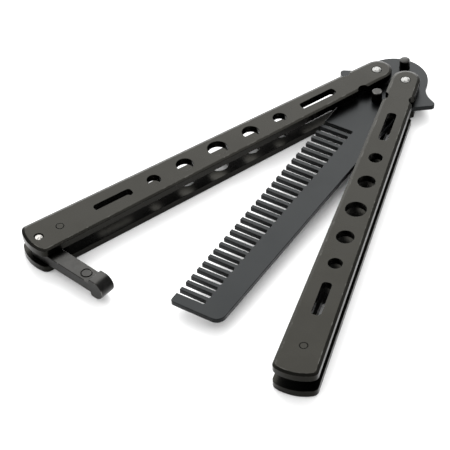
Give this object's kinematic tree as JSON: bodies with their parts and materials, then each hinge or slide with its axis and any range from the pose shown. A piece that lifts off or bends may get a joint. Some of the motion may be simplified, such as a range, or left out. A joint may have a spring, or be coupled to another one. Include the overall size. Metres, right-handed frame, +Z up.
{
  "type": "folding comb",
  "caption": "Folding comb: a toothed steel plate on a guarded tang, with a butterfly handle of paired plates that turn on pins and close over it, held by a latch.",
  "frame": {"origin": "on the surface that the comb lies on, under the middle of its footprint as it lies half open", "axes": "+Y along the comb plate's mid-line, from its end towards the tang; +Z up, out of the flat of the comb; +X towards the comb's back, the side without teeth"},
  "size_m": [0.1, 0.1346, 0.0088],
  "materials": {
    "black_coat": "semi-gloss black coating on steel",
    "dark_steel": "satin black coating on steel",
    "bright_steel": "plain bright steel"
  },
  "bodies": {
    "comb": {"comb": "dark_steel", "tang_pin_head": "black_coat", "tang_pin_blade": "black_coat", "pivot_pin_left": "bright_steel", "pivot_pin_right": "bright_steel", "lower_washer_left": "bright_steel", "upper_washer_left": "bright_steel", "lower_washer_right": "bright_steel", "upper_washer_right": "bright_steel"},
    "left_handle": {"left_bottom_plate": "black_coat", "left_top_plate": "black_coat", "left_rivet": "black_coat", "latch_pin": "bright_steel"},
    "right_handle": {"right_bottom_plate": "black_coat", "right_top_plate": "black_coat", "right_rivet": "black_coat"},
    "latch": {"latch": "black_coat"}
  },
  "joints": [
    {"name": "left_handle_hinge", "type": "hinge", "parent": "comb", "child": "left_handle", "pos_m": [0.00291, 0.05463, 0.00425], "axis": [0, 0, -1], "range_deg": [-21.75, 156.75]},
    {"name": "right_handle_hinge", "type": "hinge", "parent": "comb", "child": "right_handle", "pos_m": [0.01291, 0.05463, 0.00425], "axis": [0, 0, 1], "range_deg": [-13.85, 164.65]},
    {"name": "latch_hinge", "type": "hinge", "parent": "left_handle", "child": "latch", "pos_m": [-0.04376, -0.05803, 0.00425], "axis": [0, 0, -1], "range_deg": [0, 206]}
  ]
}
